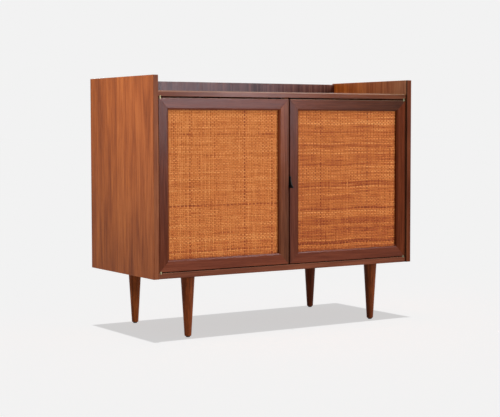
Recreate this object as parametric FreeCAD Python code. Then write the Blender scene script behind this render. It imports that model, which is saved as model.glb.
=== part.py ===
import FreeCAD, Part
import os

# Record cabinet: a low case on four turned legs, with a gallery round its top and two
# inset doors of woven cane in mitred frames, hung on knife hinges.
# Millimetres. +Z is up, the doors face -Y and the floor is at zero. The origin is on the
# floor under the middle of the whole object, its pull included.

Vector = FreeCAD.Vector
UP = Vector(0, 0, 1)
DOWN = Vector(0, 0, -1)
LEFT = Vector(-1, 0, 0)
RIGHT = Vector(1, 0, 0)
BACKWARD = Vector(0, 1, 0)
FORWARD = Vector(0, -1, 0)

# Case
case_width = 1067.0
case_depth = 462.0
side_height = 663.5
board_thickness = 19.0
gallery_height = 50.0
front_recess = 6.0
edge_round = 1.2
top_front_round = 5.0
back_thickness = 12.0
back_rebate = 9.0
back_drop = 4.0

# Clearances and the overrun of cuts
glue_gap = 0.05
seat_gap = 0.2
cut_overrun = 1.0

# Dowels of the case
dowel_radius = 4.0
dowel_in_panel = 11.0
dowel_in_end = 26.0
dowel_depth_shares = (0.18, 0.5, 0.84)

# Inside: partition, shelves and record dividers
inside_setback = 2.0
shelf_thickness = 16.0
record_space = 340.0
shelf_end_gap = 1.0
shelf_pin_radius = 3.0
shelf_pin_in_panel = 8.0
shelf_pin_reach = 9.0
shelf_pin_shares = (0.12, 0.86)
shelf_pin_pitch = 32.0
shelf_pin_steps = (-1, 0, 1)
divider_thickness = 6.0
divider_setback = 70.0
divider_groove = 4.0
divider_nose_round = 2.4
dividers_per_bay = 2

# Legs
leg_length = 200.0
leg_top_radius = 23.4
leg_foot_radius = 11.8
leg_foot_round = 5.0
leg_side_inset = 151.0
leg_front_inset = 46.0
leg_back_inset = 36.0
glide_radius = 7.0
glide_height = 3.0
glide_round = 1.2
glide_nail_radius = 1.3
glide_nail_length = 14.0
plate_length = 78.0
plate_depth = 40.0
plate_thickness = 2.5
plate_corner_round = 8.0
plate_screw_inset = 8.5
bolt_radius = 4.0
bolt_in_leg = 32.0
bolt_board_share = 0.5

# Doors
door_thickness = 20.0
door_side_gap = 3.5
door_top_gap = 4.5
door_bottom_gap = 3.0
door_meeting_gap = 4.5
member_width = 38.5
bevel_width = 5.0
bevel_depth = 4.0
lip_depth = 9.5
panel_rebate = 9.0
panel_gap = 0.4
cane_thickness = 2.2
backing_thickness = 4.0
key_size = 14.0
key_thickness = 3.0
key_depth_share = 0.52

# Knife hinges
pivot_inset = 6.5
pivot_setback = 3.4
eye_radius = 4.5
boss_radius = 3.8
pin_radius = 2.0
pin_clearance = 0.05
leaf_thickness = 2.5
leaf_width = 10.0
leaf_tail = 26.0
leaf_screw_shares = (0.25, 0.75)

# Catches
catch_width = 42.0
catch_depth = 18.0
catch_height = 15.0
catch_partition_gap = 10.0
catch_screw_share = 0.13
magnet_width = 22.0
magnet_depth = 11.0
magnet_height = 8.0
magnet_proud = 0.8
magnet_lift = 2.0
magnet_air_gap = 0.3
strike_width = 38.0
strike_height = 10.0
strike_thickness = 1.2
strike_screw_share = 0.16

# Pull
pull_width = 3.5
pull_height = 40.0
pull_reach = 19.0
pull_top_reach = 4.0
pull_tip_height = 2.5
pull_hollow = 4.2
pull_round = 0.6
pull_tang_depth = 14.0
pull_centre_share = 0.4975
pull_screw_in_stile = 13.0
pull_screw_shares = (0.25, 0.75)

# Screws
screw_head_radius = 3.4
screw_shank_radius = 1.7
back_screw_in_board = 24.0
board_screw_share = 0.68
member_screw_share = 0.5
strike_screw_depth_share = 0.6
back_screw_shares = (0.06, 0.28, 0.72, 0.94)
partition_screw_shares = (0.3, 0.7)

# Levels, planes and spans that the pieces share
pull_overhang = pull_reach - front_recess
front_y = (pull_overhang - case_depth) / 2
back_y = front_y + case_depth
face_y = front_y + front_recess
back_face_y = back_y - back_thickness
door_back_y = face_y + door_thickness
inside_y = door_back_y + inside_setback
outer_x = case_width / 2
inner_x = outer_x - board_thickness
case_z = glide_height + leg_length + plate_thickness
floor_z = case_z + board_thickness
side_top_z = case_z + side_height
back_top_z = side_top_z - back_drop
top_z = side_top_z - gallery_height
ceiling_z = top_z - board_thickness
shelf_z = floor_z + record_space
partition_x = board_thickness / 2
door_outer_x = inner_x - door_side_gap
door_inner_x = door_meeting_gap / 2
door_low_z = floor_z + door_bottom_gap
door_high_z = ceiling_z - door_top_gap
pivot_x = door_outer_x - pivot_inset
pivot_y = face_y + pivot_setback
screw_head_height = screw_head_radius - screw_shank_radius


# Shared operations

def block(xs, ys, zs):
    """A box between two x, two y and two z values."""
    corner = Vector(xs[0], ys[0], zs[0])
    return Part.makeBox(xs[1] - xs[0], ys[1] - ys[0], zs[1] - zs[0], corner)


def other_hand(shape):
    """The same piece on the other side of the cabinet."""
    return shape.mirror(Vector(0, 0, 0), Vector(1, 0, 0))


def both_hands(shapes):
    """Pieces of the left side followed by their copies on the right."""
    return list(shapes) + [other_hand(shape) for shape in shapes]


def share_of(span, share):
    """The value that lies at a share of the way along a span."""
    return span[0] + (span[1] - span[0]) * share


def lies_in(edge, axis, value):
    """Whether a straight edge lies in the plane where one coordinate has one value."""
    return all(abs(getattr(vertex.Point, axis) - value) < glue_gap for vertex in edge.Vertexes)


def eased(shape, radius, chosen):
    """The shape with the chosen edges rounded."""
    return shape.makeFillet(radius, [edge for edge in shape.Edges if chosen(edge)])


def turned(edges):
    """A solid of revolution about Z from the edges of its half section."""
    section = Part.Face(Part.Wire(edges))
    return section.revolve(Vector(0, 0, 0), UP, 360)


def lines(points):
    """Straight edges through points."""
    return [Part.LineSegment(start, end).toShape() for start, end in zip(points, points[1:])]


def placed(shape, point, direction):
    """A shape made along -Z at the origin, moved to a point and turned to a direction."""
    copy = shape.copy()
    copy.Placement = FreeCAD.Placement(point, FreeCAD.Rotation(DOWN, direction))
    return copy


def screw(length, gap=0):
    """A countersunk wood screw whose head is flush at the origin and which points down."""
    shank = screw_shank_radius + gap
    tip = -length - gap
    outline = [
        Vector(0, 0, 0),
        Vector(screw_head_radius + gap, 0, 0),
        Vector(shank, 0, -screw_head_height),
        Vector(shank, 0, tip),
        Vector(0, 0, tip),
        Vector(0, 0, 0),
    ]
    return turned(lines(outline))


def screws(length, places, gap=0):
    """One screw for each pair of a point and a direction."""
    return [placed(screw(length, gap), point, direction) for point, direction in places]


def dowel(point, direction, near, far, gap=0):
    """A dowel across a joint, reaching back by near and forward by far."""
    start = point - direction * (near + gap)
    return Part.makeCylinder(dowel_radius + gap, near + far + gap * 2, start, direction)


# Places of the fasteners, on the left side unless they say otherwise

board_middles = (case_z + partition_x, top_z - partition_x)


def side_dowels(gap=0):
    """Dowels from the left side panel into the ends of the top and bottom boards."""
    found = []
    for z in board_middles:
        for share in dowel_depth_shares:
            point = Vector(-inner_x, share_of((face_y, back_face_y), share), z)
            found.append(dowel(point, LEFT, dowel_in_end, dowel_in_panel, gap))
    return found


def partition_dowels(gap=0):
    """Dowels from the top and bottom boards into the ends of the partition."""
    found = []
    for z, direction in ((floor_z, DOWN), (ceiling_z, UP)):
        for share in dowel_depth_shares[::2]:
            point = Vector(0, share_of((inside_y, back_face_y), share), z)
            found.append(dowel(point, direction, dowel_in_end, dowel_in_panel, gap))
    return found


def back_screws(gap=0):
    """Screws through the back panel into the boards and the partition, on both sides."""
    length = back_thickness + back_screw_in_board
    across = (-inner_x, inner_x)
    upright = (floor_z, ceiling_z)
    places = [
        Vector(share_of(across, share), back_y, z) for z in board_middles for share in back_screw_shares
    ]
    places += [Vector(0, back_y, share_of(upright, share)) for share in partition_screw_shares]
    return screws(length, [(point, FORWARD) for point in places], gap)


def shelf_pin_points(steps):
    """Points on the left bay's walls where a shelf pin stands, with the way into the wall."""
    shelf_depth = (inside_y, back_face_y)
    found = []
    for step in steps:
        z = shelf_z - shelf_pin_radius + shelf_pin_pitch * step
        for share in shelf_pin_shares:
            y = share_of(shelf_depth, share)
            found.append((Vector(-inner_x, y, z), LEFT))
            found.append((Vector(-partition_x, y, z), RIGHT))
    return found


def shelf_pin_holes():
    """Rows of holes for the shelf pins, in both walls of the left bay."""
    radius = shelf_pin_radius + glue_gap
    depth = shelf_pin_in_panel + seat_gap
    return [
        Part.makeCylinder(radius, depth, point, direction)
        for point, direction in shelf_pin_points(shelf_pin_steps)
    ]


# Case boards

def side_panel():
    """The left side: a board higher than the top, rebated for the back panel."""
    panel = block((-outer_x, -inner_x), (front_y, back_y), (case_z, side_top_z))
    panel = eased(panel, edge_round, lambda e: lies_in(e, "y", front_y) or lies_in(e, "z", side_top_z))
    rebate = block(
        (-inner_x - back_rebate, -inner_x + cut_overrun),
        (back_face_y, back_y + cut_overrun),
        (case_z - cut_overrun, back_top_z),
    )
    return panel.cut([rebate] + side_dowels(glue_gap) + shelf_pin_holes())


def top_board():
    """The top between the sides, with a rounded upper front edge."""
    board = block((-inner_x, inner_x), (face_y, back_face_y), (ceiling_z, top_z))
    board = eased(board, top_front_round, lambda e: lies_in(e, "y", face_y) and lies_in(e, "z", top_z))
    handed = side_dowels(glue_gap) + case_leaf_cuts("upper") + catch_screws(glue_gap)
    return board.cut(both_hands(handed) + partition_dowels(glue_gap) + back_screws(glue_gap))


def bottom_board():
    """The bottom between the sides, grooved for the dividers and bored for the leg bolts."""
    board = block((-inner_x, inner_x), (face_y, back_face_y), (case_z, floor_z))
    handed = side_dowels(glue_gap) + case_leaf_cuts("lower") + plate_screws(glue_gap)
    handed += [hanger_bolt(place, glue_gap) for place in leg_places()]
    handed += [divider(number, seat_gap) for number in range(dividers_per_bay)]
    return board.cut(both_hands(handed) + partition_dowels(glue_gap) + back_screws(glue_gap))


def back_panel():
    """The back, let into both sides and rising above the top to close the gallery."""
    reach = inner_x + back_rebate - seat_gap
    panel = block((-reach, reach), (back_face_y, back_y), (case_z, back_top_z))
    panel = eased(panel, edge_round, lambda e: lies_in(e, "y", back_face_y) and lies_in(e, "z", back_top_z))
    return panel.cut(back_screws(glue_gap))


def partition():
    """The upright board that parts the two bays."""
    board = block((-partition_x, partition_x), (inside_y, back_face_y), (floor_z, ceiling_z))
    holes = both_hands(shelf_pin_holes())
    return board.cut(holes + partition_dowels(glue_gap) + back_screws(glue_gap))


# Shelf, shelf pins and record dividers of the left bay

def shelf():
    """The shelf over the records, grooved below for the dividers' upper edges."""
    across = (-inner_x + shelf_end_gap, -partition_x - shelf_end_gap)
    board = block(across, (inside_y, back_face_y), (shelf_z, shelf_z + shelf_thickness))
    board = eased(board, edge_round, lambda e: lies_in(e, "y", inside_y) and not lies_in(e, "x", across[0])
                  and not lies_in(e, "x", across[1]))
    return board.cut([divider(number, seat_gap) for number in range(dividers_per_bay)])


def shelf_pins():
    """Pins under the shelf's four corners."""
    length = shelf_pin_in_panel + shelf_pin_reach
    return [
        Part.makeCylinder(shelf_pin_radius, length, point - direction * shelf_pin_reach, direction)
        for point, direction in shelf_pin_points((0,))
    ]


def divider(number, gap=0):
    """A thin upright board between records, or the cutter of its grooves."""
    bay = (-inner_x, -partition_x)
    middle = share_of(bay, (number + 1) / (dividers_per_bay + 1))
    half = divider_thickness / 2 + gap
    front = inside_y + divider_setback
    low = floor_z - divider_groove
    high = shelf_z + divider_groove
    board = block((middle - half, middle + half), (front - gap, back_face_y), (low - gap, high + gap))
    if gap:
        return board
    return eased(board, divider_nose_round,
                 lambda e: lies_in(e, "y", front) and not lies_in(e, "z", low) and not lies_in(e, "z", high))


# Legs with their plates, bolts and glides

def leg_places():
    """The two left legs' axes, front and back."""
    x = -outer_x + leg_side_inset
    return [Vector(x, front_y + leg_front_inset, 0), Vector(x, back_y - leg_back_inset, 0)]


def leg(place):
    """A round leg that tapers to a rounded foot."""
    foot = glide_height
    top = foot + leg_length
    slant = leg_foot_round * (1 - 0.5 ** 0.5)
    shoulder = Vector(leg_top_radius, 0, top)
    ankle = Vector(leg_foot_radius, 0, foot + leg_foot_round)
    heel = Vector(leg_foot_radius - slant, 0, foot + slant)
    sole = Vector(leg_foot_radius - leg_foot_round, 0, foot)
    edges = lines([Vector(0, 0, foot), Vector(0, 0, top), shoulder, ankle])
    edges.append(Part.Arc(ankle, heel, sole).toShape())
    edges += lines([sole, Vector(0, 0, foot)])
    post = turned(edges)
    post.translate(place)
    return post.cut([hanger_bolt(place, glue_gap), glide(place, glue_gap)])


def glide(place, gap=0):
    """A nailed floor glide: a flat round foot with a softened rim and its nail."""
    foot = Part.makeCylinder(glide_radius, glide_height)
    foot = eased(foot, glide_round, lambda e: lies_in(e, "z", 0) and len(e.Vertexes) == 1)
    nail = Part.makeCylinder(glide_nail_radius + gap, glide_nail_length + gap, Vector(0, 0, glide_height))
    both = foot.fuse(nail)
    both.translate(place)
    return both


def hanger_bolt(place, gap=0):
    """The bolt that stands in a leg's top and passes up through its plate."""
    top = glide_height + leg_length
    length = bolt_in_leg + plate_thickness + board_thickness * bolt_board_share
    start = place + UP * (top - bolt_in_leg - gap)
    return Part.makeCylinder(bolt_radius + gap, length + gap * 2, start)


def plate_screw_places():
    """Screws at the corners of the two left leg plates."""
    along = plate_length / 2 - plate_screw_inset
    across = plate_depth / 2 - plate_screw_inset
    low = glide_height + leg_length
    corners = [Vector(x, y, low) for x in (-along, along) for y in (-across, across)]
    return [(place + corner, UP) for place in leg_places() for corner in corners]


def plate_screws(gap=0):
    """Screws that hold the left leg plates under the bottom board."""
    return screws(plate_thickness + board_thickness * board_screw_share, plate_screw_places(), gap)


def leg_plate(place):
    """A flat steel plate with rounded corners between a leg and the bottom board."""
    along = plate_length / 2
    across = plate_depth / 2
    plate = block((-along, along), (-across, across), (case_z - plate_thickness, case_z))
    plate = eased(plate, plate_corner_round, lambda e: abs(e.Vertexes[0].Z - e.Vertexes[-1].Z) > glue_gap)
    plate.translate(place)
    return plate.cut([hanger_bolt(place, glue_gap)] + plate_screws(glue_gap))


# Knife hinges of the left door

def leaf(low_z, gap=0):
    """A hinge leaf in plan: a round eye at the door's corner and a bar along the door's edge."""
    height = leaf_thickness
    middle = face_y + door_thickness / 2
    half = leaf_width / 2 + gap
    end = -door_outer_x + member_width + leaf_tail + gap
    eye = Part.makeCylinder(eye_radius + gap, height, Vector(-pivot_x, pivot_y, low_z))
    bar = block((-pivot_x, end), (middle - half, middle + half), (low_z, low_z + height))
    return eye.fuse(bar).removeSplitter()


def leaf_levels(end):
    """Lowest z of the case leaf and of the door leaf, and the way from case to door."""
    if end == "upper":
        return ceiling_z, door_high_z - leaf_thickness, DOWN
    return floor_z - leaf_thickness, door_low_z, UP


def leaf_screws(surface_z, direction, length, gap=0):
    """The screws of one leaf, whose heads are flush with its open face."""
    start = -door_outer_x + member_width
    middle = face_y + door_thickness / 2
    points = [Vector(start + leaf_tail * share, middle, surface_z) for share in leaf_screw_shares]
    return screws(length, [(point, direction) for point in points], gap)


def case_leaf_screws(end, gap=0):
    """Screws of a case leaf, driven into the top or bottom board."""
    surface = ceiling_z if end == "upper" else floor_z
    direction = UP if end == "upper" else DOWN
    return leaf_screws(surface, direction, board_thickness * board_screw_share, gap)


def door_leaf_screws(end, gap=0):
    """Screws of a door leaf, driven into the rail."""
    surface = door_high_z if end == "upper" else door_low_z
    direction = DOWN if end == "upper" else UP
    return leaf_screws(surface, direction, (member_width - panel_rebate) * member_screw_share, gap)


def case_leaf_cuts(end):
    """What the case leaf and its screws take out of the board that holds them."""
    case_low, _, _ = leaf_levels(end)
    return [leaf(case_low, seat_gap)] + case_leaf_screws(end, glue_gap)


def door_leaf_cuts(end):
    """What the door leaf and its screws take out of the door frame."""
    _, door_low, _ = leaf_levels(end)
    return [leaf(door_low, seat_gap)] + door_leaf_screws(end, glue_gap)


def case_leaf(end):
    """The leaf in the board, with the boss that spaces the door and the pin that carries it."""
    case_low, _, towards_door = leaf_levels(end)
    gap = door_top_gap if end == "upper" else door_bottom_gap
    surface = Vector(-pivot_x, pivot_y, ceiling_z if end == "upper" else floor_z)
    boss = Part.makeCylinder(boss_radius, gap, surface, towards_door)
    pin = Part.makeCylinder(pin_radius, gap + leaf_thickness, surface, towards_door)
    solid = leaf(case_low).fuse([boss, pin]).removeSplitter()
    return solid.cut(case_leaf_screws(end, glue_gap))


def door_leaf(end):
    """The leaf in the door, bored for the pin."""
    _, door_low, _ = leaf_levels(end)
    start = Vector(-pivot_x, pivot_y, door_low - cut_overrun)
    bore = Part.makeCylinder(pin_radius + pin_clearance, leaf_thickness + cut_overrun * 2, start)
    return leaf(door_low).cut([bore] + door_leaf_screws(end, glue_gap))


# Frame of the left door

door_xs = (-door_outer_x, -door_inner_x)
door_zs = (door_low_z, door_high_z)
door_middle = Vector(share_of(door_xs, 0.5), face_y, share_of(door_zs, 0.5))


def member_section(at):
    """A frame member's section, placed by a function of the distance in from the door's edge
    and the depth behind its face."""
    step = member_width - panel_rebate
    slant = edge_round * (1 - 0.5 ** 0.5)
    outline = [
        at(edge_round, 0),
        at(member_width - bevel_width, 0),
        at(member_width, bevel_depth),
        at(member_width, lip_depth),
        at(step, lip_depth),
        at(step, door_thickness),
        at(0, door_thickness),
        at(0, edge_round),
    ]
    arris = Part.Arc(outline[-1], at(slant, slant), outline[0]).toShape()
    return Part.Face(Part.Wire(lines(outline) + [arris]))


def mitred(solid, corners):
    """A member trimmed to its four-cornered outline in the door's face."""
    points = [Vector(x, face_y, z) for x, z in corners]
    outline = Part.Face(Part.makePolygon(points + points[:1]))
    return solid.common(outline.extrude(BACKWARD * door_thickness))


def lower_rail():
    """The rail along the door's lower edge."""
    section = member_section(lambda inward, depth: Vector(door_xs[0], face_y + depth, door_low_z + inward))
    solid = section.extrude(Vector(door_xs[1] - door_xs[0], 0, 0))
    inner = door_low_z + member_width
    return mitred(solid, [
        (door_xs[0], door_low_z),
        (door_xs[1], door_low_z),
        (door_xs[1] - member_width, inner),
        (door_xs[0] + member_width, inner),
    ])


def outer_stile():
    """The stile along the door's hinged edge."""
    section = member_section(lambda inward, depth: Vector(door_xs[0] + inward, face_y + depth, door_low_z))
    solid = section.extrude(Vector(0, 0, door_high_z - door_low_z))
    inner = door_xs[0] + member_width
    return mitred(solid, [
        (door_xs[0], door_low_z),
        (inner, door_low_z + member_width),
        (inner, door_high_z - member_width),
        (door_xs[0], door_high_z),
    ])


def mitre_keys(gap=0):
    """Thin square keys let in across the four mitres."""
    middle = face_y + lip_depth * key_depth_share
    half = key_size / 2 + gap
    inset = (member_width - bevel_width) / 2
    ys = (middle - key_thickness / 2 - gap, middle + key_thickness / 2 + gap)
    found = []
    for x in (door_xs[0] + inset, door_xs[1] - inset):
        for z in (door_zs[0] + inset, door_zs[1] - inset):
            found.append(block((x - half, x + half), ys, (z - half, z + half)))
    return found


def frame_members():
    """The four members of the left door's frame by name, cut for all that they hold."""
    across = Vector(1, 0, 0)
    rail = lower_rail()
    stile = outer_stile()
    members = {
        "hinge_stile": stile,
        "meeting_stile": stile.mirror(door_middle, across),
        "top_rail": rail.mirror(door_middle, UP),
        "bottom_rail": rail,
    }
    cuts = mitre_keys(glue_gap) + door_leaf_cuts("upper") + door_leaf_cuts("lower")
    cuts += strike_screws(glue_gap)
    return {name: member.cut(cuts) for name, member in members.items()}


# Cane, backing and beads of the left door

cane_y = face_y + lip_depth
backing_y = cane_y + cane_thickness
bead_y = backing_y + backing_thickness
panel_inset = member_width - panel_rebate + panel_gap
panel_xs = (door_xs[0] + panel_inset, door_xs[1] - panel_inset)
panel_zs = (door_zs[0] + panel_inset, door_zs[1] - panel_inset)


def cane_panel():
    """The woven cane, held in the frame's rebate."""
    return block(panel_xs, (cane_y, backing_y), panel_zs)


def backing_panel():
    """The thin board that backs the cane."""
    return block(panel_xs, (backing_y, bead_y), panel_zs)


def beads():
    """Four square beads that hold cane and backing in the rebate from behind."""
    width = panel_rebate - panel_gap
    ys = (bead_y, door_back_y)
    upright = (panel_zs[0] + width, panel_zs[1] - width)
    return [
        block(panel_xs, ys, (panel_zs[0], upright[0])),
        block(panel_xs, ys, (upright[1], panel_zs[1])),
        block((panel_xs[0], panel_xs[0] + width), ys, upright),
        block((panel_xs[1] - width, panel_xs[1]), ys, upright),
    ]


# Magnetic catch of the left door

catch_xs = (-partition_x - catch_partition_gap - catch_width, -partition_x - catch_partition_gap)
magnet_y = door_back_y + strike_thickness + magnet_air_gap
magnet_low_z = ceiling_z - catch_height + magnet_lift
magnet_middle = Vector(share_of(catch_xs, 0.5), magnet_y, magnet_low_z + magnet_height / 2)


def catch_screws(gap=0):
    """Two screws up through the catch into the top board."""
    low = ceiling_z - catch_height
    y = magnet_y + magnet_proud + catch_depth / 2
    xs = [share_of(catch_xs, share) for share in (catch_screw_share, 1 - catch_screw_share)]
    length = catch_height + board_thickness * board_screw_share
    return screws(length, [(Vector(x, y, low), UP) for x in xs], gap)


def magnet(gap=0):
    """The magnet that stands a little out of the catch's front."""
    half = magnet_width / 2 + gap
    ys = (magnet_y, magnet_y + magnet_depth + gap)
    zs = (magnet_low_z - gap, magnet_low_z + magnet_height + gap)
    return block((magnet_middle.x - half, magnet_middle.x + half), ys, zs)


def catch():
    """The catch's housing under the top board."""
    front = magnet_y + magnet_proud
    body = block(catch_xs, (front, front + catch_depth), (ceiling_z - catch_height, ceiling_z))
    return body.cut([magnet(glue_gap)] + catch_screws(glue_gap))


def strike_screws(gap=0):
    """Two screws through the strike plate into the back of the top rail."""
    reach = strike_width * (0.5 - strike_screw_share)
    back = door_back_y + strike_thickness
    points = [Vector(magnet_middle.x + offset, back, magnet_middle.z) for offset in (-reach, reach)]
    length = strike_thickness + door_thickness * strike_screw_depth_share
    return screws(length, [(point, FORWARD) for point in points], gap)


def strike_plate():
    """The steel plate on the door's back that the magnet holds."""
    half = strike_width / 2
    zs = (magnet_middle.z - strike_height / 2, magnet_middle.z + strike_height / 2)
    ys = (door_back_y, door_back_y + strike_thickness)
    plate = block((magnet_middle.x - half, magnet_middle.x + half), ys, zs)
    return plate.cut(strike_screws(glue_gap))


# Pull, on the right door only

pull_xs = (door_inner_x, door_inner_x + pull_width)
pull_low_z = share_of(door_zs, pull_centre_share) - pull_height / 2
pull_zs = (pull_low_z, pull_low_z + pull_height)


def pull_tang(gap=0):
    """The flat part of the pull that is let into the edge of the meeting stile."""
    xs = (pull_xs[0] - gap, pull_xs[1] + gap)
    return block(xs, (face_y, face_y + pull_tang_depth + gap), (pull_zs[0] - gap, pull_zs[1] + gap))


def pull_screws(gap=0):
    """Two screws through the tang into the edge of the meeting stile."""
    y = face_y + pull_tang_depth / 2
    points = [Vector(pull_xs[0], y, share_of(pull_zs, share)) for share in pull_screw_shares]
    return screws(pull_width + pull_screw_in_stile, [(point, RIGHT) for point in points], gap)


def pull_fin():
    """The fin in front of the door, which sweeps out in a hollow curve to its lower tip."""
    def at(reach, height):
        return Vector(pull_xs[0], face_y - reach, pull_low_z + height)

    middle_reach = (pull_reach + pull_top_reach) / 2
    middle_height = (pull_height + pull_tip_height) / 2
    brow = at(pull_top_reach, pull_height)
    tip = at(pull_reach, pull_tip_height)
    edges = lines([brow, at(0, pull_height), at(0, 0), at(pull_reach, 0), tip])
    edges.append(Part.Arc(tip, at(middle_reach - pull_hollow, middle_height - pull_hollow), brow).toShape())
    fin = Part.Face(Part.Wire(edges)).extrude(RIGHT * pull_width)
    return eased(fin, pull_round, lambda e: not lies_in(e, "y", face_y))


def pull():
    """The tab pull: fin and tang in one piece, drilled for its screws."""
    return pull_fin().fuse(pull_tang()).removeSplitter().cut(pull_screws(glue_gap))


# Every piece by name

def cabinet_pieces():
    """The case with all that is fixed to it."""
    front_leg, back_leg = leg_places()
    handed = {
        "side_panel": side_panel(),
        "shelf": shelf(),
        "front_leg": leg(front_leg),
        "back_leg": leg(back_leg),
        "upper_case_leaf": case_leaf("upper"),
        "lower_case_leaf": case_leaf("lower"),
        "catch": catch(),
    }
    for number in range(dividers_per_bay):
        handed["record_divider_%d" % (number + 1)] = divider(number)
    groups = {
        "leg_plates": [leg_plate(place) for place in leg_places()],
        "leg_plate_screws": plate_screws(),
        "hanger_bolts": [hanger_bolt(place) for place in leg_places()],
        "floor_glides": [glide(place) for place in leg_places()],
        "shelf_pins": shelf_pins(),
        "board_dowels": side_dowels(),
        "case_hinge_screws": case_leaf_screws("upper") + case_leaf_screws("lower"),
        "catch_magnets": [magnet()],
        "catch_screws": catch_screws(),
    }
    pieces = {
        "top_board": top_board(),
        "bottom_board": bottom_board(),
        "back_panel": back_panel(),
        "centre_partition": partition(),
        "partition_dowels": Part.makeCompound(partition_dowels()),
        "back_panel_screws": Part.makeCompound(back_screws()),
    }
    for name, shape in handed.items():
        pieces["left_" + name] = shape
        pieces["right_" + name] = other_hand(shape)
    for name, shapes in groups.items():
        pieces[name] = Part.makeCompound(both_hands(shapes))
    return pieces


def door_pieces():
    """Both doors, of which only the right one has a pull."""
    handed = {"door_" + name: shape for name, shape in frame_members().items()}
    handed["cane_panel"] = cane_panel()
    handed["backing_panel"] = backing_panel()
    handed["panel_beads"] = Part.makeCompound(beads())
    handed["mitre_keys"] = Part.makeCompound(mitre_keys())
    handed["upper_door_leaf"] = door_leaf("upper")
    handed["lower_door_leaf"] = door_leaf("lower")
    handed["strike_plate"] = strike_plate()
    driven = door_leaf_screws("upper") + door_leaf_screws("lower") + strike_screws()
    handed["door_screws"] = Part.makeCompound(driven)
    pieces = {}
    for name, shape in handed.items():
        pieces["left_" + name] = shape
        pieces["right_" + name] = other_hand(shape)
    seat = [pull_tang(glue_gap)] + pull_screws(glue_gap)
    pieces["right_door_meeting_stile"] = pieces["right_door_meeting_stile"].cut(seat)
    pieces["door_pull"] = pull()
    pieces["pull_screws"] = Part.makeCompound(pull_screws())
    return pieces


os.makedirs("parts", exist_ok=True)
for pieces in (cabinet_pieces(), door_pieces()):
    for name, shape in pieces.items():
        shape.exportStep(os.path.join("parts", name + ".step"))
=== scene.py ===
import math
import random

import bmesh
import bpy
from mathutils import Matrix, Vector


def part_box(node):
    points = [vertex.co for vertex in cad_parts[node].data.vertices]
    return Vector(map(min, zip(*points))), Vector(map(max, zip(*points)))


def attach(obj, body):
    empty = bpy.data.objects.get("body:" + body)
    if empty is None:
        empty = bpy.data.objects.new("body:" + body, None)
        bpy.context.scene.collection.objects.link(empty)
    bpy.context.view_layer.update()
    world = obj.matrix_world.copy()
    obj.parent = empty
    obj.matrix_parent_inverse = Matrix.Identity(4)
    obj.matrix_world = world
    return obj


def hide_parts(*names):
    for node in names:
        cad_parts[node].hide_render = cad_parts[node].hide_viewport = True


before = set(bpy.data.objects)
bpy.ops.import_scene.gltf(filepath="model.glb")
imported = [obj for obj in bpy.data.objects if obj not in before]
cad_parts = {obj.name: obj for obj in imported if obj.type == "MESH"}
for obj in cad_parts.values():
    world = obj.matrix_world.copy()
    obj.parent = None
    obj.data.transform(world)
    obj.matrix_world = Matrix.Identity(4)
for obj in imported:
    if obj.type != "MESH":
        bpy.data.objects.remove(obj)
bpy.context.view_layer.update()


# Legs
# Four round legs turned from solid walnut, tapered to a rounded foot and darker than the case.
# A bolt in the top of each holds it to the case, and the grain runs down its length.

def tint(red, green, blue):
    """A colour in the shader's linear values from the eight-bit values of a colour card."""
    def linear(value):
        value = value / 255
        return value / 12.92 if value <= 0.04045 else ((value + 0.055) / 1.055) ** 2.4

    return linear(red), linear(green), linear(blue), 1.0


def new_finish(name):
    """An empty node material, its shader, and short ways to add a node and to join two sockets."""
    material = bpy.data.materials.new(name)
    material.use_nodes = True
    tree = material.node_tree

    def add(kind, settings=None, **inputs):
        node = tree.nodes.new("ShaderNode" + kind)
        for key, value in (settings or {}).items():
            setattr(node, key, value)
        for key, value in inputs.items():
            node.inputs[key.replace("_", " ")].default_value = value
        return node

    return material, tree.nodes["Principled BSDF"], add, tree.links.new


def set_ramp(ramp, stops):
    """Gives a colour ramp its stops, each a place from 0 to 1 and a colour."""
    elements = ramp.color_ramp.elements
    while len(elements) < len(stops):
        elements.new(1.0)
    for element, (place, colour) in zip(elements, stops):
        element.position = place
        element.color = colour


arris = 0.0015
edge_samples = 6
polish_tint = (0.87, 0.87, 1.0, 1.0)
figure_count = 14.0
figure_run = 0.22
figure_share = 0.35
streak_run = 0.02
streak_share = 0.46
pore_count = 1500.0
pore_run = 0.03
pore_from = 0.6
pore_to = 0.72
pore_shade = 0.72
pore_depth = 0.0003
streak_polish = 0.06
streak_dullness = 0.1
deep_at = 0.39
middle_at = 0.5
pale_at = 0.61
noise_low = 0.3
noise_high = 0.7


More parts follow.
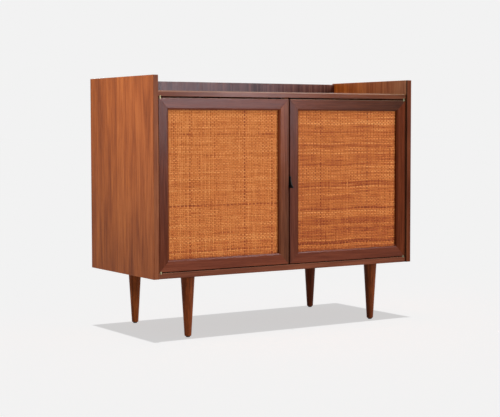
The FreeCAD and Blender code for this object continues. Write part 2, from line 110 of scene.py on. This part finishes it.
def wood(name, grain, deep, middle, pale, band=55, streak=330, run=0.035,
         roughness=0.42, sheen=0.08):
    """Wood whose grain runs along one axis: broad bands, fine streaks and short dark pores.
    Counts are to the metre across the grain, and a run is a mark's width to its length."""
    material, shader, add, join = new_finish(name)
    place = add("TexCoord")

    def along(stretch):
        scale = [1.0, 1.0, 1.0]
        scale["XYZ".index(grain)] = stretch
        mapping = add("Mapping", Scale=scale)
        join(place.outputs["Object"], mapping.inputs["Vector"])
        return mapping.outputs["Vector"]

    figure = add("TexNoise", Scale=figure_count, Detail=2.0, Roughness=0.5, Distortion=0.8)
    join(along(figure_run), figure.inputs["Vector"])
    broad = add("TexNoise", Scale=band, Detail=3.0, Roughness=0.55, Distortion=0.6)
    join(along(run), broad.inputs["Vector"])
    fine = add("TexNoise", Scale=streak, Detail=5.0, Roughness=0.7, Distortion=0.15)
    join(along(streak_run), fine.inputs["Vector"])
    pores = add("TexNoise", Scale=pore_count, Detail=1.0)
    join(along(pore_run), pores.inputs["Vector"])

    grown = add("Mix", {"data_type": "FLOAT"}, Factor=figure_share)
    join(broad.outputs["Fac"], grown.inputs["A"])
    join(figure.outputs["Fac"], grown.inputs["B"])
    tone = add("Mix", {"data_type": "FLOAT"}, Factor=streak_share)
    join(grown.outputs["Result"], tone.inputs["A"])
    join(fine.outputs["Fac"], tone.inputs["B"])
    colour = add("ValToRGB")
    set_ramp(colour, ((deep_at, deep), (middle_at, middle), (pale_at, pale)))
    join(tone.outputs["Result"], colour.inputs["Fac"])
    flecks = add("MapRange", From_Min=pore_from, From_Max=pore_to, To_Min=1.0, To_Max=pore_shade)
    join(pores.outputs["Fac"], flecks.inputs["Value"])
    darkened = add("VectorMath", {"operation": "SCALE"})
    join(colour.outputs["Color"], darkened.inputs["Vector"])
    join(flecks.outputs["Result"], darkened.inputs["Scale"])
    join(darkened.outputs["Vector"], shader.inputs["Base Color"])

    dull = add("MapRange", From_Min=noise_low, From_Max=noise_high,
               To_Min=roughness - streak_polish, To_Max=roughness + streak_dullness)
    join(fine.outputs["Fac"], dull.inputs["Value"])
    join(dull.outputs["Result"], shader.inputs["Roughness"])
    eased = add("Bevel", {"samples": edge_samples}, Radius=arris)
    relief = add("Bump", Strength=0.25, Distance=pore_depth)
    join(flecks.outputs["Result"], relief.inputs["Height"])
    join(eased.outputs["Normal"], relief.inputs["Normal"])
    join(relief.outputs["Normal"], shader.inputs["Normal"])
    shader.inputs["Specular IOR Level"].default_value = sheen
    shader.inputs["Specular Tint"].default_value = polish_tint
    return material


def dress(material, *names):
    """Gives CAD nodes their finish."""
    for name in names:
        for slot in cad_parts[name].material_slots:
            slot.material = material


# Painted light: the left legs have paler shades, the back left one palest, as if lit from the left,
# and the right legs have darker shades as painted shade.
lit_and_shaded_leg_shades = {
    "left_front": (tint(86, 41, 17), tint(120, 58, 26), tint(154, 79, 38)),
    "left_back": (tint(99, 47, 19), tint(137, 69, 29), tint(175, 93, 43)),
    "right_front": (tint(72, 32, 11), tint(100, 47, 18), tint(130, 65, 27)),
    "right_back": (tint(68, 29, 9), tint(95, 42, 15), tint(124, 60, 24)),
}
for corner, shades in lit_and_shaded_leg_shades.items():
    dress(wood("walnut_%s_leg" % corner, "Z", *shades, band=110), corner + "_leg")


# Leg plates, hanger bolts and floor glides
# Flat plates of zinc-plated steel are screwed under the bottom board, and a hanger bolt runs
# from each leg up through its plate. Each foot ends in a dark glide with a nail.

worn_to = 0.35
bright_from = 0.62
patch_dullness = 0.15
patch_shine = 0.08


def metal(name, colour, worn, roughness, mottle=240):
    """Metal with a mottled surface that is duller and darker in patches, so many to the metre."""
    material, shader, add, join = new_finish(name)
    place = add("TexCoord")
    patches = add("TexNoise", Scale=mottle, Detail=5.0, Roughness=0.65)
    join(place.outputs["Object"], patches.inputs["Vector"])
    shade = add("ValToRGB")
    set_ramp(shade, ((worn_to, worn), (bright_from, colour)))
    join(patches.outputs["Fac"], shade.inputs["Fac"])
    join(shade.outputs["Color"], shader.inputs["Base Color"])
    dull = add("MapRange", To_Min=roughness + patch_dullness, To_Max=roughness - patch_shine)
    join(patches.outputs["Fac"], dull.inputs["Value"])
    join(dull.outputs["Result"], shader.inputs["Roughness"])
    shader.inputs["Metallic"].default_value = 1.0
    return material


steel = metal("steel", tint(186, 187, 186), tint(138, 138, 136), 0.34)
dress(steel, "leg_plates", "leg_plate_screws", "hanger_bolts")

speckle_count = 1800.0
speckle_depth = 0.0002


def plastic(name, pale, dark, roughness, sheen=0.5):
    """Moulded plastic with a faint grain."""
    material, shader, add, join = new_finish(name)
    place = add("TexCoord")
    speckle = add("TexNoise", Scale=speckle_count, Detail=3.0)
    join(place.outputs["Object"], speckle.inputs["Vector"])
    shade = add("ValToRGB")
    set_ramp(shade, ((noise_low, dark), (noise_high, pale)))
    join(speckle.outputs["Fac"], shade.inputs["Fac"])
    join(shade.outputs["Color"], shader.inputs["Base Color"])
    relief = add("Bump", Strength=0.2, Distance=speckle_depth)
    join(speckle.outputs["Fac"], relief.inputs["Height"])
    join(relief.outputs["Normal"], shader.inputs["Normal"])
    shader.inputs["Roughness"].default_value = roughness
    shader.inputs["Specular IOR Level"].default_value = sheen
    return material


dress(plastic("glide_plastic", tint(44, 30, 22), tint(30, 20, 14), 0.5), "floor_glides")


# Case boards
# Boards of walnut. The sides, veneered with the grain upright, stand higher than the top, which
# fits between them. They are doweled and glued, and the back panel is let in behind and screwed.

edge_depth = 0.001
# The edge tints are partly the lip's own darker tone and partly painted light: the left one's bluer
# cast is a painted sheen, and the right one's deeper dark is painted shade. The corner shade is
# painted shade on the side's inner face before the door.
edge_tone_and_light = {"left": (0.57, 0.63, 0.92, 1.0), "right": (0.34, 0.205, 0.137, 1.0)}
painted_corner_shade = 0.2


def lip(material, front, face, inner, edge_colour_and_light):
    """A lip along the front edge of a veneered side, darker than the veneer and tinted partly by
    painted light. The side's inner face, in the corner before the door, is darkened by painted shade."""
    tree = material.node_tree
    base = tree.nodes["Principled BSDF"].inputs["Base Color"]
    veneer = base.links[0].from_socket
    place = tree.nodes.new("ShaderNodeTexCoord")
    parts = tree.nodes.new("ShaderNodeSeparateXYZ")
    tree.links.new(place.outputs["Object"], parts.inputs["Vector"])

    def maths(operation, *values):
        node = tree.nodes.new("ShaderNodeMath")
        node.operation = operation
        for value, socket in zip(values, node.inputs):
            tree.links.new(value, socket)
        return node.outputs["Value"]

    def rise(value, start, low):
        node = tree.nodes.new("ShaderNodeMapRange")
        tree.links.new(value, node.inputs["Value"])
        node.inputs["From Min"].default_value = start
        node.inputs["From Max"].default_value = start + edge_depth
        node.inputs["To Min"].default_value = low
        return node.outputs["Result"]

    edge = tree.nodes.new("ShaderNodeValToRGB")
    set_ramp(edge, ((0.0, edge_colour_and_light), (1.0, (1.0, 1.0, 1.0, 1.0))))
    tree.links.new(rise(parts.outputs["Y"], front, 0.0), edge.inputs["Fac"])
    tinted = tree.nodes.new("ShaderNodeVectorMath")
    tinted.operation = "MULTIPLY"
    tree.links.new(veneer, tinted.inputs[0])
    tree.links.new(edge.outputs["Color"], tinted.inputs[1])
    # Painted shade on the side's inner face, in the corner before the door.
    across = rise(maths("ABSOLUTE", parts.outputs["X"]), inner, painted_corner_shade)
    corner = maths("MAXIMUM", across, rise(parts.outputs["Y"], face, 0.0))
    shaded = tree.nodes.new("ShaderNodeVectorMath")
    shaded.operation = "SCALE"
    tree.links.new(tinted.outputs["Vector"], shaded.inputs["Vector"])
    tree.links.new(corner, shaded.inputs["Scale"])
    tree.links.new(shaded.outputs["Vector"], base)


def way_along(tree, axis, start, end):
    """A ramp along one axis, from its start to its end."""
    place = tree.nodes.new("ShaderNodeTexCoord")
    parts = tree.nodes.new("ShaderNodeSeparateXYZ")
    tree.links.new(place.outputs["Object"], parts.inputs["Vector"])
    way = tree.nodes.new("ShaderNodeMapRange")
    way.inputs["From Min"].default_value = start
    way.inputs["From Max"].default_value = end
    tree.links.new(parts.outputs[axis], way.inputs["Value"])
    return way


def fade(material, axis, start, end, first, last):
    """Changes the colour evenly along one axis, from one tint at the start to another; it carries the
    wood's tone and also painted light and shade.
    """
    tree = material.node_tree
    base = tree.nodes["Principled BSDF"].inputs["Base Color"]
    plain = base.links[0].from_socket
    way = way_along(tree, axis, start, end)
    between = tree.nodes.new("ShaderNodeVectorMath")
    between.operation = "MULTIPLY_ADD"
    tree.links.new(way.outputs["Result"], between.inputs[0])
    between.inputs[1].default_value = Vector(last) - Vector(first)
    between.inputs[2].default_value = first
    tinted = tree.nodes.new("ShaderNodeVectorMath")
    tinted.operation = "MULTIPLY"
    tree.links.new(plain, tinted.inputs[0])
    tree.links.new(between.outputs["Vector"], tinted.inputs[1])
    tree.links.new(tinted.outputs["Vector"], base)


unchanged = (1.0, 1.0, 1.0)
# Front to back along each side: the bluer cast at the front is a painted sheen, and the right side's
# warmer back is partly the wood's own tone and partly painted light.
veneer_tone_and_light = {
    "left": ((1.0, 1.03, 1.25), (0.97, 0.91, 0.76)),
    "right": ((0.89, 1.16, 1.63), (1.5, 1.22, 0.5)),
}
back_lip_tint = (0.55, 0.65, 1.3)
side_veneer = {
    "left": (tint(126, 62, 27), tint(166, 88, 41), tint(194, 112, 55)),
    "right": (tint(130, 67, 36), tint(170, 97, 58), tint(194, 119, 72)),
}
top_low, top_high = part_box("top_board")
for side, shades in side_veneer.items():
    veneer = wood("walnut_%s_side" % side, "Z", *shades, band=30, streak=240, run=0.1,
                  roughness=0.3, sheen=0.05)
    low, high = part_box(side + "_side_panel")
    lip(veneer, low.y, top_low.y, top_high.x, edge_tone_and_light[side])
    fade(veneer, "Y", low.y, high.y, *veneer_tone_and_light[side])
    fade(veneer, "Y", high.y - 2 * edge_depth, high.y - edge_depth, unchanged, back_lip_tint)
    dress(veneer, side + "_side_panel")

bare_wood_and_highlight = tint(192, 158, 128)
worn_and_lit_width = 0.0025
wear_and_highlight_begins = 0.1
wear_and_highlight_full_from = 0.4
wear_and_highlight_full_to = 0.8
wear_and_highlight_ends = 0.98


def wear_and_highlight(material, share):
    """Edges that face up are paler by a share of bare wood: partly wear, partly a painted highlight.
    Where this begins and ends goes by how far a place faces up, from 0 on a wall to 1 on a top."""
    tree = material.node_tree
    base = tree.nodes["Principled BSDF"].inputs["Base Color"]
    plain = base.links[0].from_socket
    eased = tree.nodes.new("ShaderNodeBevel")
    eased.samples = edge_samples
    eased.inputs["Radius"].default_value = worn_and_lit_width
    parts = tree.nodes.new("ShaderNodeSeparateXYZ")
    tree.links.new(eased.outputs["Normal"], parts.inputs["Vector"])
    edge = tree.nodes.new("ShaderNodeValToRGB")
    worn = (share, share, share, 1.0)
    none = (0.0, 0.0, 0.0, 1.0)
    set_ramp(edge, ((wear_and_highlight_begins, none), (wear_and_highlight_full_from, worn), (wear_and_highlight_full_to, worn), (wear_and_highlight_ends, none)))
    tree.links.new(parts.outputs["Z"], edge.inputs["Fac"])
    mixed = tree.nodes.new("ShaderNodeMixRGB")
    tree.links.new(edge.outputs["Color"], mixed.inputs["Fac"])
    tree.links.new(plain, mixed.inputs["Color1"])
    mixed.inputs["Color2"].default_value = bare_wood_and_highlight
    tree.links.new(mixed.outputs["Color"], base)


def dull_end(material, axis, start, end, extra):
    """Leaves a finish less polished at its start, by an extra roughness that is gone at the end."""
    tree = material.node_tree
    roughness = tree.nodes["Principled BSDF"].inputs["Roughness"]
    less = way_along(tree, axis, start, end)
    less.inputs["To Min"].default_value = extra
    less.inputs["To Max"].default_value = 0.0
    summed = tree.nodes.new("ShaderNodeMath")
    tree.links.new(roughness.links[0].from_socket, summed.inputs[0])
    tree.links.new(less.outputs["Result"], summed.inputs[1])
    tree.links.new(summed.outputs["Value"], roughness)


even_from = 0.1
even_to = 0.25
board_shades = (tint(90, 45, 27), tint(108, 57, 36), tint(126, 71, 47))
# Paler up-facing arrises on the boards: partly wear, partly a painted highlight.
top_wear_and_highlight = 0.26
# Painted shade: the top's front edge darkens towards its right end, where its sheen fades.
top_right_painted_shade = (0.7, 0.68, 0.5)
dull_length = 0.28
end_dullness = 0.3
top_wood = wood("walnut_top", "X", *board_shades, band=120, roughness=0.13, sheen=0.13)
wear_and_highlight(top_wood, top_wear_and_highlight)
fade(top_wood, "X", even_to, top_high.x, unchanged, top_right_painted_shade)
dull_end(top_wood, "X", top_low.x, top_low.x + dull_length, end_dullness)
dress(top_wood, "top_board")

bottom_wear_and_highlight = 0.2
bottom_wood = wood("walnut_bottom", "X", *board_shades, band=120, roughness=0.36)
wear_and_highlight(bottom_wood, bottom_wear_and_highlight)
dress(bottom_wood, "bottom_board")

# The back's shades lean purple as a painted sheen. Light and shade are painted along it: darker at
# its foot, where it meets the top, and at its left, lighter at its head, and lighter still at the
# right, a painted reflection of the right side.
back_shades = (tint(62, 39, 38), tint(86, 55, 52), tint(110, 74, 67))
back_foot_painted_shade = (0.7, 0.66, 0.64)
back_head_painted_light = (1.12, 1.08, 1.1)
back_left_painted_shade = (0.66, 0.62, 0.62)
back_right_painted_reflection = (1.6, 1.6, 1.3)
back_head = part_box("back_panel")[1].z
back_wood = wood("walnut_back", "Z", *back_shades, band=30, streak=150, roughness=0.2, sheen=0.14)
fade(back_wood, "Z", top_high.z, back_head, back_foot_painted_shade, back_head_painted_light)
fade(back_wood, "X", top_low.x, even_from, back_left_painted_shade, unchanged)
fade(back_wood, "X", even_to, top_high.x, unchanged, back_right_painted_reflection)
dress(back_wood, "back_panel")


# Partition, shelves and record dividers
# The inside is plain-sawn walnut of a paler, matt finish. The shelves lie on pins, and the thin
# dividers stand in grooves of the bottom board and of the shelf.

inside_shades = (tint(128, 76, 44), tint(156, 98, 60), tint(178, 120, 80))
inside_wood = wood("inside_upright", "Z", *inside_shades, roughness=0.55)
dress(inside_wood, "centre_partition")
for side in ("left", "right"):
    for number in "12":
        dress(inside_wood, side + "_record_divider_" + number)
shelf_wood = wood("inside_shelf", "X", *inside_shades, roughness=0.55)
dress(shelf_wood, "left_shelf", "right_shelf")


# Dowels and shelf pins
# Beech dowels glued into the ends of the boards join the case out of sight. The shelves lie on
# short brass pins in holes of the sides and the partition.

beech_shades = (tint(190, 150, 108), tint(208, 172, 130), tint(222, 190, 150))
beech = wood("beech", "X", *beech_shades, roughness=0.6)
dress(beech, "board_dowels", "partition_dowels")
brass = metal("brass", tint(168, 158, 124), tint(112, 102, 76), 0.36, mottle=420)
dress(brass, "shelf_pins")


# Knife hinges
# Pairs of flat brass leaves let into the boards and the doors, held by brass screws. The case
# leaf has a boss that spaces the door and a pin that turns in the door leaf.

dull_brass = metal("dull_brass", tint(124, 122, 98), tint(84, 80, 60), 0.4, mottle=420)
for side, leaf_metal in (("left", brass), ("right", dull_brass)):
    for end in ("upper", "lower"):
        dress(leaf_metal, side + "_" + end + "_case_leaf", side + "_" + end + "_door_leaf")
dress(brass, "case_hinge_screws", "left_door_screws", "right_door_screws")


# Door frames
# Each frame has four walnut members mitred at the corners, with keys let in across the joints,
# bevelled along their inner edge and oiled darker than the sides. The tone of the wood differs
# from member to member. Across three members light and shade are painted in, and the left
# meeting stile is paler towards its top.

frame_polish = {"band": 160, "streak": 560, "roughness": 0.17}
frame_sheen = 0.115
rail_shades = (tint(86, 38, 21), tint(100, 47, 28), tint(116, 58, 36))
low_shades = (tint(95, 43, 25), tint(110, 53, 32), tint(127, 65, 41))
outer_shades = (tint(78, 34, 17), tint(92, 42, 22), tint(108, 53, 30))
pale_shades = (tint(84, 40, 20), tint(101, 51, 27), tint(118, 64, 37))
dark_shades = (tint(66, 30, 18), tint(80, 38, 23), tint(96, 48, 30))
frame_shades = (tint(74, 33, 18), tint(88, 41, 24), tint(104, 52, 32))
red_shades = (tint(72, 29, 12), tint(89, 38, 16), tint(106, 49, 24))
member_finish = {
    "left_door_top_rail": ("walnut_top_rail", "X", rail_shades, frame_sheen),
    "left_door_bottom_rail": ("walnut_low_rail", "X", low_shades, frame_sheen),
    "left_door_hinge_stile": ("walnut_outer_stile", "Z", outer_shades, 0.09),
    "left_door_meeting_stile": ("walnut_pale_stile", "Z", pale_shades, frame_sheen),
    "right_door_top_rail": ("walnut_dark_rail", "X", dark_shades, 0.095),
    "right_door_bottom_rail": ("walnut_rail", "X", rail_shades, frame_sheen),
    "right_door_meeting_stile": ("walnut_stile", "Z", frame_shades, frame_sheen),
    "right_door_hinge_stile": ("walnut_red_stile", "Z", red_shades, 0.05),
}
member_wood = {}
for member, (name, grain, shades, sheen) in member_finish.items():
    member_wood[member] = wood(name, grain, *shades, sheen=sheen, **frame_polish)
    dress(member_wood[member], member)

# Paler upper arrises on the top rails: partly wear, partly a painted highlight.
left_rail_wear_and_highlight = 0.3
right_rail_wear_and_highlight = 0.2
wear_and_highlight(member_wood["left_door_top_rail"], left_rail_wear_and_highlight)
wear_and_highlight(member_wood["right_door_top_rail"], right_rail_wear_and_highlight)
# Painted light across members: a painted reflection on the right top rail that fades to the right,
# and painted light on each meeting stile, paler towards the cane.
painted_light_across = {
    "right_door_top_rail": ((1.75, 1.85, 1.75), (0.62, 0.72, 0.58)),
    "right_door_meeting_stile": ((0.88, 0.9, 0.94), (1.2, 1.2, 1.1)),
    "left_door_meeting_stile": ((1.45, 1.4, 1.25), (0.75, 0.78, 0.8)),
}
for member, tints in painted_light_across.items():
    low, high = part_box(member)
    fade(member_wood[member], "X", low.x, high.x, *tints)
even_foot = 0.15
even_head = 0.1
stile_foot_tint = (0.82, 0.91, 1.0)
stile_head_tint = (1.3, 1.22, 1.03)
low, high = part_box("left_door_meeting_stile")
fade(member_wood["left_door_meeting_stile"], "Z", low.z + even_foot, high.z - even_head,
     stile_foot_tint, stile_head_tint)
dress(beech, "left_mitre_keys", "right_mitre_keys")


# Woven cane
# Flat strands of split cane in a tight plain weave, uprights and weavers passing over and under
# each other. The sheet is cut to the frame's rebate, and strands vary in tone and lie unevenly.

upright_pitch = 0.0074
weaver_pitch = 0.0058
upright_cover_share = {"left": 0.8, "right": 0.55}
weaver_cover_share = 0.95
strand_crown_share = 0.6
strand_thickness = 0.0008
strand_lift = 0.00055
steps_between = 2
out = Vector((0, -1, 0))
tone_steadiness = {"left": 0.1, "right": 0.4}
upright_spread = {"left": 0.06, "right": 0.05}
weaver_spread = {"left": 0.06, "right": 0.12}
middle_tone = {"left": 0.66, "right": 0.545}
# Painted light: the weavers grow lighter towards the top of each sheet.
painted_top_light = {"left": 0.1, "right": 0.12}
weave_seed = {"left": 3783, "right": 15271}
upright_stray_share = 0.06
upright_drop = 0.1
dark_strand_share = 0.05
dark_strand_drop = {"left": 0.25, "right": 0.27}
wander = {"left": 0.0005, "right": 0.0016}
wander_columns = 5
wander_rows = 9
fibre_layers = ((700.0, 0.2, 0.03), (180.0, 0.09, 0.03), (270.0, 0.2, 0.05), (60.0, 0.05, 1.0))
cane_roughness = 0.5
cane_sheen = 0.1
cane_skin = (
    (0.0, tint(104, 40, 24)),
    (0.3, tint(160, 77, 38)),
    (0.6, tint(202, 118, 58)),
    (1.0, tint(230, 158, 92)),
)


def cane_finish(name, grain):
    """Split cane: golden skin on the tone that each strand carries, with layers of fibres along
    the strand. A layer is its count to the metre, its reach in tone and its width to its length."""
    material, shader, add, join = new_finish(name)
    place = add("TexCoord")
    own = add("Attribute", {"attribute_name": "tone"})
    total = own.outputs["Fac"]
    for count, reach, stretch in fibre_layers:
        scale = [1.0, 1.0, 1.0]
        scale["XYZ".index(grain)] = stretch
        mapping = add("Mapping", Scale=scale)
        join(place.outputs["Object"], mapping.inputs["Vector"])
        fibres = add("TexNoise", Scale=count, Detail=3.0, Roughness=0.6)
        join(mapping.outputs["Vector"], fibres.inputs["Vector"])
        spread = add("MapRange", From_Min=noise_low, From_Max=noise_high, To_Min=-reach, To_Max=reach)
        join(fibres.outputs["Fac"], spread.inputs["Value"])
        summed = add("Math", {"operation": "ADD"})
        join(total, summed.inputs[0])
        join(spread.outputs["Result"], summed.inputs[1])
        total = summed.outputs["Value"]
    colour = add("ValToRGB")
    set_ramp(colour, cane_skin)
    join(total, colour.inputs["Fac"])
    join(colour.outputs["Color"], shader.inputs["Base Color"])
    shader.inputs["Roughness"].default_value = cane_roughness
    shader.inputs["Specular IOR Level"].default_value = cane_sheen
    return material


def strand_tones(count, middle, spread, steadiness, drop, draw):
    """A tone for each strand, some of them dark. Neighbours are as alike as the steadiness says."""
    drift = 0.0
    tones = []
    for _ in range(count):
        drift = drift * steadiness + draw.gauss(0.0, spread) * (1 - steadiness ** 2) ** 0.5
        dark = drop if draw.random() < dark_strand_share else 0.0
        tones.append(middle + drift - dark)
    return tones


def add_strands(bm, starts, tones, along, across, pitch, count, width, slot):
    """Straight strands side by side: a flat section with a crown at each start, all of them
    extruded together and then cut into even steps along the weave."""
    half = width / 2
    crown = half * strand_crown_share
    back = strand_thickness / 2
    outline = ((-half, -back), (-crown, back), (crown, back), (half, -back))
    faces = []
    for start, tone in zip(starts, tones):
        corners = [bm.verts.new(start + across * offset + out * height) for offset, height in outline]
        for corner in corners:
            corner[bm.verts.layers.float["tone"]] = tone
        face = bm.faces.new(corners)
        face.material_index = slot
        face.smooth = True
        faces.append(face)
    corners = [corner for face in faces for corner in face.verts]
    edges = [edge for face in faces for edge in face.edges]
    bmesh.ops.spin(
        bm, geom=faces + edges + corners, cent=starts[0], axis=along, dvec=along * (pitch * count),
        angle=0.0, steps=1,
    )
    lengths = [edge for corner in corners for edge in corner.link_edges if edge not in edges]
    bmesh.ops.subdivide_edges(bm, edges=lengths, cuts=count * steps_between - 1)


def woven(side):
    """One door's sheet: straight strands first, then each point is lifted or sunk by the weave."""
    low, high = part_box(side + "_cane_panel")
    middle_y = (low.y + high.y) / 2
    columns = round((high.x - low.x) / upright_pitch)
    rows = round((high.z - low.z) / weaver_pitch)
    column = (high.x - low.x) / columns
    row = (high.z - low.z) / rows
    draw = random.Random(weave_seed[side])
    bm = bmesh.new()
    bm.verts.layers.float.new("tone")

    strays = [draw.gauss(0.5, upright_stray_share) for _ in range(columns)]
    starts = [
        Vector((low.x + column * (number + stray), middle_y, low.z))
        for number, stray in enumerate(strays)
    ]
    drop = dark_strand_drop[side]
    upright_tone = middle_tone[side] - upright_drop
    tones = strand_tones(columns, upright_tone, upright_spread[side], 0.0, drop, draw)
    add_strands(bm, starts, tones, Vector((0, 0, 1)), Vector((1, 0, 0)), row, rows,
                column * upright_cover_share[side], 0)
    upright_points = len(bm.verts)

    starts = [Vector((low.x, middle_y, low.z + row * (number + 0.5))) for number in range(rows)]
    tones = strand_tones(rows, middle_tone[side], weaver_spread[side], tone_steadiness[side],
                         drop, draw)
    # Painted light, lighter towards the top.
    tones = [tone + painted_top_light[side] * (number / rows - 0.5) for number, tone in enumerate(tones)]
    add_strands(bm, starts, tones, Vector((1, 0, 0)), Vector((0, 0, -1)), column, columns,
                row * weaver_cover_share, 1)

    for number, point in enumerate(bm.verts):
        across = (point.co.x - low.x) / column - 0.5
        up = (point.co.z - low.z) / row - 0.5
        if number < upright_points:
            lift = math.cos(math.pi * (up + round(across)))
        else:
            lift = -math.cos(math.pi * (across + round(up)))
        stray = wander[side] * math.sin(across / wander_columns + math.sin(up / wander_rows))
        point.co += out * (strand_lift * lift) + Vector((0, 0, stray))
    mesh = bpy.data.meshes.new(side + "_cane")
    bm.to_mesh(mesh)
    bm.free()
    mesh.materials.append(upright_cane)
    mesh.materials.append(weaver_cane)
    sheet = bpy.data.objects.new(side + "_cane", mesh)
    bpy.context.scene.collection.objects.link(sheet)
    return sheet


upright_cane = cane_finish("cane_upright", "Z")
weaver_cane = cane_finish("cane_weaver", "X")
for side in ("left", "right"):
    sheet = woven(side)
    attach(sheet, side + "_door")
    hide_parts(side + "_cane_panel")


# Cane backing and beads
# A thin board backs the cane, and four square beads of the frame's walnut hold both in its
# rebate from behind.

backing_shades = (tint(112, 70, 42), tint(140, 92, 58), tint(160, 112, 76))
backing = wood("backing_board", "Z", *backing_shades, roughness=0.6)
for side in ("left", "right"):
    dress(backing, side + "_backing_panel")
    dress(member_wood["right_door_bottom_rail"], side + "_panel_beads")


# Catches
# Brown plastic housings with magnets are screwed under the top board, and plates of darkened
# steel on the doors' backs meet them.

# The housings' dark brown is partly their own colour and partly painted shade, so that the gap above
# the doors stays black.
catch_plastic_and_shade = plastic("catch_plastic_and_shade", tint(44, 30, 22), tint(30, 20, 15), 0.6, sheen=0.1)
dress(catch_plastic_and_shade, "left_catch", "right_catch")
dark_steel = metal("dark_steel", tint(70, 62, 54), tint(46, 41, 36), 0.5)
dress(dark_steel, "catch_screws", "left_strike_plate", "right_strike_plate")
dress(plastic("ferrite", tint(36, 34, 33), tint(24, 23, 22), 0.6, sheen=0.1), "catch_magnets")


# Pull
# A blackened steel tab let into the edge of the right door, swept out to a lip at its foot and
# held by two screws through its tang.

black_metal_share = 0.15
black_sheen = 0.15
black = metal("black_metal", tint(24, 22, 20), tint(13, 12, 11), 0.4, mottle=900)
black_shader = black.node_tree.nodes["Principled BSDF"]
black_shader.inputs["Metallic"].default_value = black_metal_share
black_shader.inputs["Specular IOR Level"].default_value = black_sheen
dress(black, "door_pull", "pull_screws")


# Floor and light
# A pale studio floor under an overhead lamp that draws the case's shadow straight down. Soft lamps
# stand at the right front, high at the right, at the left and behind, with a weak light all round.
# The soft lamps pass over the floor, so that its white stays even.

floor_half = 60.0
floor_grey = 0.567
floor_glow = 0.581
floor_bounce = 0.25
backdrop_white = 0.888
light_all_round = 0.08

floor_mesh = bpy.data.meshes.new("floor")
bm = bmesh.new()
bmesh.ops.create_grid(bm, x_segments=1, y_segments=1, size=floor_half)
bm.to_mesh(floor_mesh)
bm.free()
floor = bpy.data.objects.new("floor", floor_mesh)
bpy.context.scene.collection.objects.link(floor)


def seen_directly(tree):
    """1 for rays that show a surface itself, by sight, in a reflection or through glass."""
    path = tree.nodes.new("ShaderNodeLightPath")
    found = path.outputs["Is Camera Ray"]
    for other in ("Is Glossy Ray", "Is Transmission Ray"):
        either = tree.nodes.new("ShaderNodeMath")
        either.operation = "MAXIMUM"
        tree.links.new(found, either.inputs[0])
        tree.links.new(path.outputs[other], either.inputs[1])
        found = either.outputs["Value"]
    return found


paper, paper_shader, add, join = new_finish("floor_paper")
paper_shader.inputs["Base Color"].default_value = (floor_grey, floor_grey, floor_grey, 1.0)
paper_shader.inputs["Roughness"].default_value = 1.0
paper_shader.inputs["Specular IOR Level"].default_value = 0.0
paper_shader.inputs["Emission Color"].default_value = (1.0, 1.0, 1.0, 1.0)
glow = add("MapRange", To_Min=floor_bounce, To_Max=floor_glow)
join(seen_directly(paper.node_tree), glow.inputs["Value"])
join(glow.outputs["Result"], paper_shader.inputs["Emission Strength"])
floor_mesh.materials.append(paper)

world = bpy.data.worlds.new("studio")
bpy.context.scene.world = world
world.use_nodes = True
around = world.node_tree.nodes["Background"]
around.inputs["Color"].default_value = (1.0, 1.0, 1.0, 1.0)
brightness = world.node_tree.nodes.new("ShaderNodeMapRange")
brightness.inputs["To Min"].default_value = light_all_round
brightness.inputs["To Max"].default_value = backdrop_white
world.node_tree.links.new(seen_directly(world.node_tree), brightness.inputs["Value"])
world.node_tree.links.new(brightness.outputs["Result"], around.inputs["Strength"])

case_middle = Vector((0.0, 0.0, 0.5))
left_side_head = Vector((-0.53, -0.13, 0.85))
passed_over = bpy.data.collections.new("passed_over")
passed_over.objects.link(floor)
passed_over.collection_objects[0].light_linking.link_state = "EXCLUDE"


def lamp(name, kind, energy, azimuth, elevation, distance, aim=case_middle):
    """A lamp that looks at its aim; azimuth 0 is straight in front, 90 at the right."""
    data = bpy.data.lights.new(name, kind)
    data.energy = energy
    turn, rise = math.radians(azimuth), math.radians(elevation)
    level = math.cos(rise)
    away = Vector((math.sin(turn) * level, -math.cos(turn) * level, math.sin(rise)))
    item = bpy.data.objects.new(name, data)
    item.location = aim + away * distance
    item.rotation_euler = (-away).to_track_quat("-Z", "Y").to_euler()
    bpy.context.scene.collection.objects.link(item)
    if kind == "AREA":
        item.light_linking.receiver_collection = passed_over
    return data


overhead = lamp("overhead", "SUN", energy=1.45, azimuth=0, elevation=90, distance=4.0)
overhead.angle = math.radians(1.0)
key = lamp("right_front", "AREA", energy=450.0, azimuth=26, elevation=13, distance=9.0)
key.shape = "RECTANGLE"
key.size = 2.36
key.size_y = 4.0
upper = lamp("upper_right", "AREA", energy=410.0, azimuth=48, elevation=45, distance=9.0)
upper.size = 2.6
side_lamp = lamp("left", "AREA", energy=3.02, azimuth=-90, elevation=17.3, distance=1.58,
                 aim=left_side_head)
side_lamp.size = 0.45
side_lamp.spread = math.radians(64)
rear = lamp("rear", "AREA", energy=9.0, azimuth=172, elevation=12, distance=3.6)
rear.size = 0.8
rear.spread = math.radians(40)


# Camera
# It stands far off to the left, a little lower than the top board, with a long lens, so that
# the uprights look nearly parallel.

camera_from_case = Vector((-2.5566, -3.754, 0.4952))
camera_yaw = math.radians(32.501)
camera_pitch = math.radians(3.544)
camera_roll = math.radians(-0.099)
lens_length = 94.95
film_width = 36.0

side_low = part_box("left_side_panel")[0]
camera_data = bpy.data.cameras.new("camera")
camera_data.lens = lens_length
camera_data.sensor_width = film_width
camera = bpy.data.objects.new("camera", camera_data)
camera.matrix_world = (
    Matrix.Translation(Vector((0.0, side_low.y, side_low.z)) + camera_from_case)
    @ Matrix.Rotation(-camera_yaw, 4, "Z")
    @ Matrix.Rotation(math.pi / 2 - camera_pitch, 4, "X")
    @ Matrix.Rotation(camera_roll, 4, "Z")
)
bpy.context.scene.collection.objects.link(camera)
bpy.context.scene.camera = camera
bpy.context.scene.view_settings.view_transform = "Standard"
